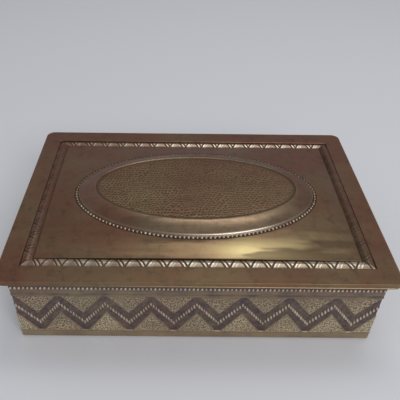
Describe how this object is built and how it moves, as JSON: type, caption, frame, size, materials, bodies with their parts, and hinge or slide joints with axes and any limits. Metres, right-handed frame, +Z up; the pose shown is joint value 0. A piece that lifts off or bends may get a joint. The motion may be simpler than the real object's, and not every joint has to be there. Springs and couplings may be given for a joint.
{
  "type": "jewelry box",
  "caption": "Low brass-clad wooden jewelry box with an overhanging hinged lid, pressed zigzag sides, a beaded oval medallion and a velvet lining",
  "frame": {"origin": "centre of the footprint, on the surface the box stands on, under the felt", "axes": "+X along the front from left to right, +Y from the front to the hinges at the back, +Z up"},
  "size_m": [0.2, 0.136, 0.0573],
  "materials": {
    "body_brass": "aged, darkened in the ribbons",
    "lid_brass": "aged, rubbed bright on the high places",
    "fitting_brass": "plain",
    "box_wood": "plain softwood",
    "velvet": "short pile",
    "base_cloth": "felt"
  },
  "bodies": {
    "body": {"front_panel": "body_brass", "back_panel": "body_brass", "left_panel": "body_brass", "right_panel": "body_brass", "front_board": "box_wood", "back_board": "box_wood", "left_board": "box_wood", "right_board": "box_wood", "floor_board": "box_wood", "panel_pins": "fitting_brass", "base_felt": "base_cloth", "floor_pad": "velvet", "left_body_leaf": "fitting_brass", "right_body_leaf": "fitting_brass", "hinge_screws": "fitting_brass", "left_hinge_pin": "fitting_brass", "right_hinge_pin": "fitting_brass"},
    "lid": {"lid_shell": "lid_brass", "lid_board": "box_wood", "lid_lining": "velvet", "left_lid_leaf": "fitting_brass", "right_lid_leaf": "fitting_brass"}
  },
  "joints": [
    {"name": "lid_hinge", "type": "hinge", "parent": "body", "child": "lid", "pos_m": [0, 0.0652, 0.0473], "axis": [-1, 0, 0], "range_deg": [0, 110]}
  ]
}
